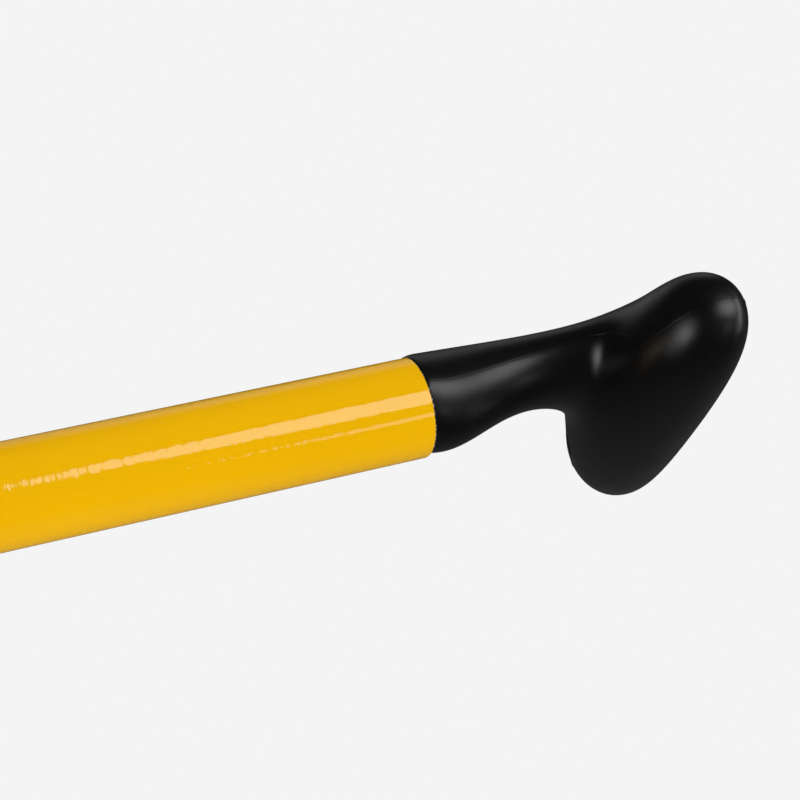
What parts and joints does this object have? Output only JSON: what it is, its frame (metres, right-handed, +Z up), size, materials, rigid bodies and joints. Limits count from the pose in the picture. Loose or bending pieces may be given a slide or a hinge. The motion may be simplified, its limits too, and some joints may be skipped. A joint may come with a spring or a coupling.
{
  "type": "canoe paddle",
  "caption": "Single-blade canoe paddle: moulded T-grip with a set-forward bar, sleeved aluminium shaft and ribbed moulded blade on a socket.",
  "frame": {"origin": "on the shaft's axis, level with the underside of the T-bar, where a two-pronged rack carries the paddle", "axes": "+Z up the shaft to the grip, X along the T-bar and across the blade, -Y the finger side, +Y the palm side"},
  "size_m": [0.2, 0.0513, 1.3704],
  "materials": {
    "grip_black": "semi-gloss moulded ABS with a fine mould line",
    "sleeve_yellow": "very glossy plastic sleeve with faint ripples",
    "tube_aluminium": "drawn tube, bare",
    "adhesive": "cured black adhesive with grey specks",
    "foam": "closed-cell foam",
    "blade_black": "moulded polypropylene, fine texture",
    "rivet_aluminium": "plain blind rivets"
  },
  "bodies": {
    "root": {"t_grip": "grip_black", "grip_bead": "adhesive", "shaft_tube": "tube_aluminium", "shaft_sleeve": "sleeve_yellow", "foam_plug_upper": "foam", "foam_plug_lower": "foam", "blade": "blade_black", "blade_bead": "adhesive", "blade_rivets": "rivet_aluminium"}
  },
  "joints": []
}
